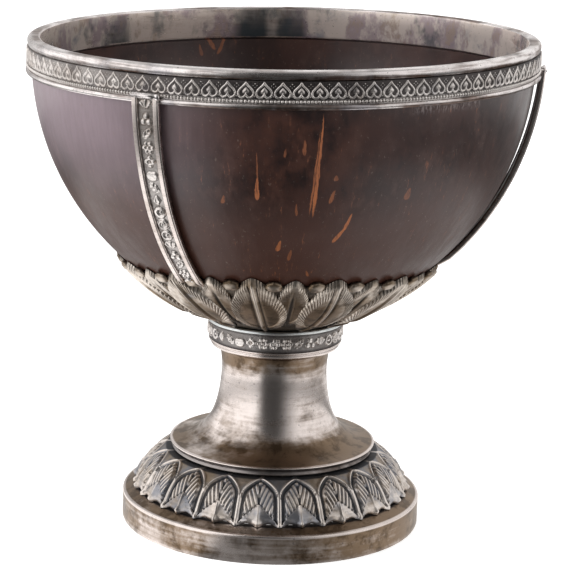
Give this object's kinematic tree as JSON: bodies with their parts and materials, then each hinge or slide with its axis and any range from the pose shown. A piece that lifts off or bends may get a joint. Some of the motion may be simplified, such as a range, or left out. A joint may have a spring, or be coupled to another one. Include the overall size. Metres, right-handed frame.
{
  "type": "mounted coconut cup",
  "caption": "Drinking cup of half a coconut shell held by straps in silver mounts, with a leafed calyx, a plain trumpet stem and a round foot",
  "frame": {"origin": "centre of the circle that the foot stands on", "axes": "+Z is the cup's axis, up through the mouth; -Y is the front, between the front left strap and the right strap; +X is to the right seen from the front"},
  "size_m": [0.1214, 0.1204, 0.1183],
  "materials": {
    "silver": "old silver, satin from wear, tarnished brown in the hollows",
    "lining_silver": "silver sheet with brown and blue-grey tarnish",
    "stamped_silver": "stamped silver with dark oxidised ground",
    "chased_silver": "cast and chased silver, worn bright on the edges",
    "bolt_silver": "dull filed metal",
    "nutshell": "polished dark brown coconut shell with lighter fibre streaks"
  },
  "bodies": {
    "cup": {"coconut_bowl": "nutshell", "rim_lip": "silver", "rim_lining": "lining_silver", "rim_heart_band": "stamped_silver", "rim_bead_wire": "stamped_silver", "rim_lower_wire": "silver", "strap_front_left_strip": "stamped_silver", "strap_front_left_left_rail": "silver", "strap_front_left_right_rail": "silver", "strap_front_left_head": "silver", "strap_right_strip": "stamped_silver", "strap_right_left_rail": "silver", "strap_right_right_rail": "silver", "strap_right_head": "silver", "strap_rear_left_strip": "stamped_silver", "strap_rear_left_left_rail": "silver", "strap_rear_left_right_rail": "silver", "strap_rear_left_head": "silver", "calyx": "chased_silver", "collar_top_wire": "silver", "collar_band": "stamped_silver", "collar_moulding": "silver", "stem": "silver", "foot_leaf_ring": "chased_silver", "foot_base": "silver", "tie_bolt": "bolt_silver", "foot_bridge": "bolt_silver", "foot_washer": "bolt_silver"},
    "fixing_nut": {"foot_nut": "bolt_silver"}
  },
  "joints": [
    {"name": "fixing_nut_turn", "type": "hinge", "parent": "cup", "child": "fixing_nut", "pos_m": [0, 0, 0.0119], "axis": [0, 0, 1], "continuous": true}
  ]
}
